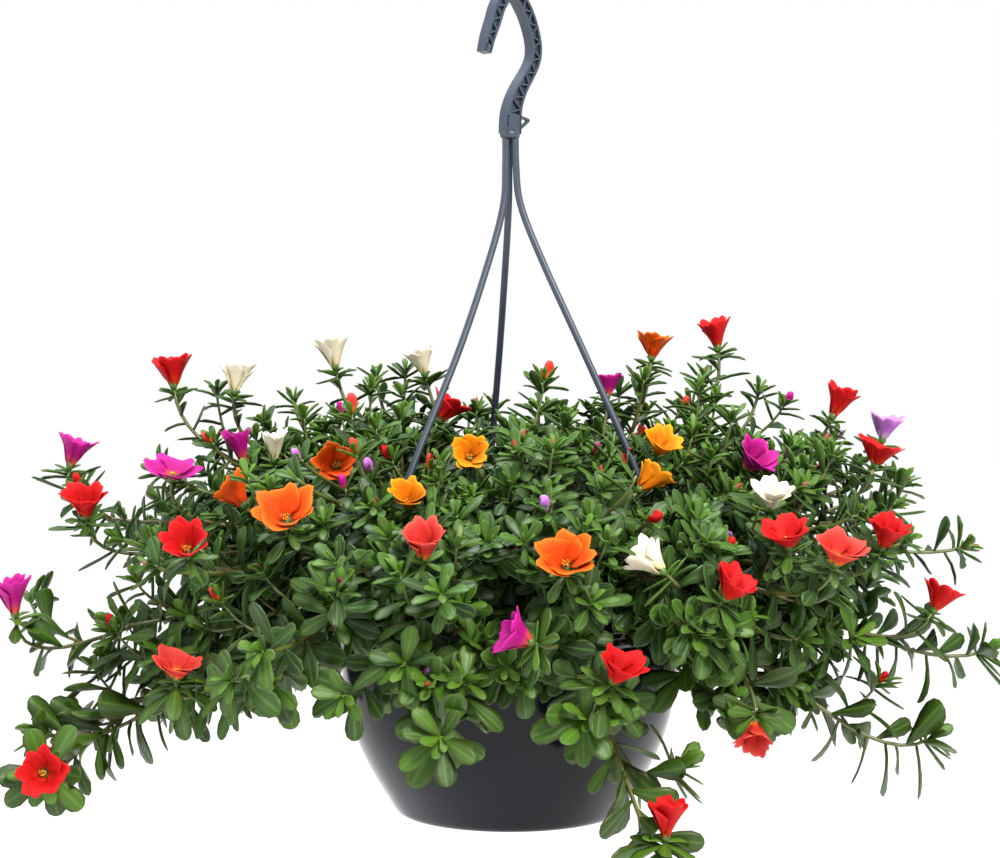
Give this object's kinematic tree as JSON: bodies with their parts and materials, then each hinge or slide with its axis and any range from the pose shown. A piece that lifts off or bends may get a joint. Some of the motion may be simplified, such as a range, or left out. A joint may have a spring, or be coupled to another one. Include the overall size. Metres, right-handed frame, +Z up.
{
  "type": "portulaca hanging basket",
  "caption": "Trailing succulent portulaca in mixed-colour bloom, growing in a round plastic pot on a one-piece three-armed hanger with a hook.",
  "frame": {"origin": "seat of the hanger's hook, on the pot's axis", "axes": "+Z up through the pot's axis, -Y towards the fullest side of the plant, +X to its right"},
  "size_m": [0.6915, 0.5325, 0.5838],
  "materials": {
    "pot_plastic": "moulded glossy dark blue-grey plastic",
    "hanger_plastic": "moulded satin blue-grey plastic",
    "potting_soil": "damp peat-based potting soil",
    "plant_green": "waxy succulent leaves and stems",
    "petal_magenta": "thin silky petals",
    "petal_red": "thin silky petals",
    "petal_coral": "thin silky petals",
    "petal_orange": "thin silky petals",
    "petal_amber": "thin silky petals",
    "petal_cream": "thin silky petals",
    "petal_lilac": "thin silky petals"
  },
  "bodies": {
    "root": {"pot": "pot_plastic", "soil": "potting_soil", "hanger": "hanger_plastic", "bloom_magenta_1": "petal_magenta", "bloom_magenta_2": "petal_magenta", "bloom_red_1": "petal_red", "bloom_red_2": "petal_red", "bloom_cream_1": "petal_cream", "bloom_magenta_3": "petal_magenta", "bloom_magenta_4": "petal_magenta", "bloom_cream_2": "petal_cream", "bloom_red_3": "petal_red", "bloom_orange_1": "petal_orange", "bloom_orange_2": "petal_orange", "bloom_orange_3": "petal_orange", "bloom_cream_3": "petal_cream", "bloom_cream_4": "petal_cream", "bloom_red_4": "petal_red", "bloom_amber_1": "petal_amber", "bloom_amber_2": "petal_amber", "bloom_coral_1": "petal_coral", "bloom_orange_4": "petal_orange", "bloom_magenta_5": "petal_magenta", "bloom_coral_2": "petal_coral", "bloom_magenta_6": "petal_magenta", "bloom_orange_5": "petal_orange", "bloom_red_5": "petal_red", "bloom_amber_3": "petal_amber", "bloom_amber_4": "petal_amber", "bloom_magenta_7": "petal_magenta", "bloom_red_6": "petal_red", "bloom_red_7": "petal_red", "bloom_lilac_1": "petal_lilac", "bloom_cream_5": "petal_cream", "bloom_red_8": "petal_red", "bloom_coral_3": "petal_coral", "bloom_red_9": "petal_red", "bloom_cream_6": "petal_cream", "bloom_red_10": "petal_red", "bloom_red_11": "petal_red", "bloom_coral_4": "petal_coral", "bloom_red_12": "petal_red", "bloom_red_13": "petal_red", "bloom_red_14": "petal_red", "bloom_orange_6": "petal_orange", "bloom_red_15": "petal_red", "bloom_magenta_8": "petal_magenta", "bloom_cream_7": "petal_cream", "bloom_amber_5": "petal_amber", "bloom_lilac_2": "petal_lilac", "branch_1": "plant_green", "branch_2": "plant_green", "branch_3": "plant_green", "branch_4": "plant_green", "branch_5": "plant_green", "branch_6": "plant_green", "branch_7": "plant_green", "branch_8": "plant_green", "branch_9": "plant_green", "branch_10": "plant_green"}
  },
  "joints": []
}
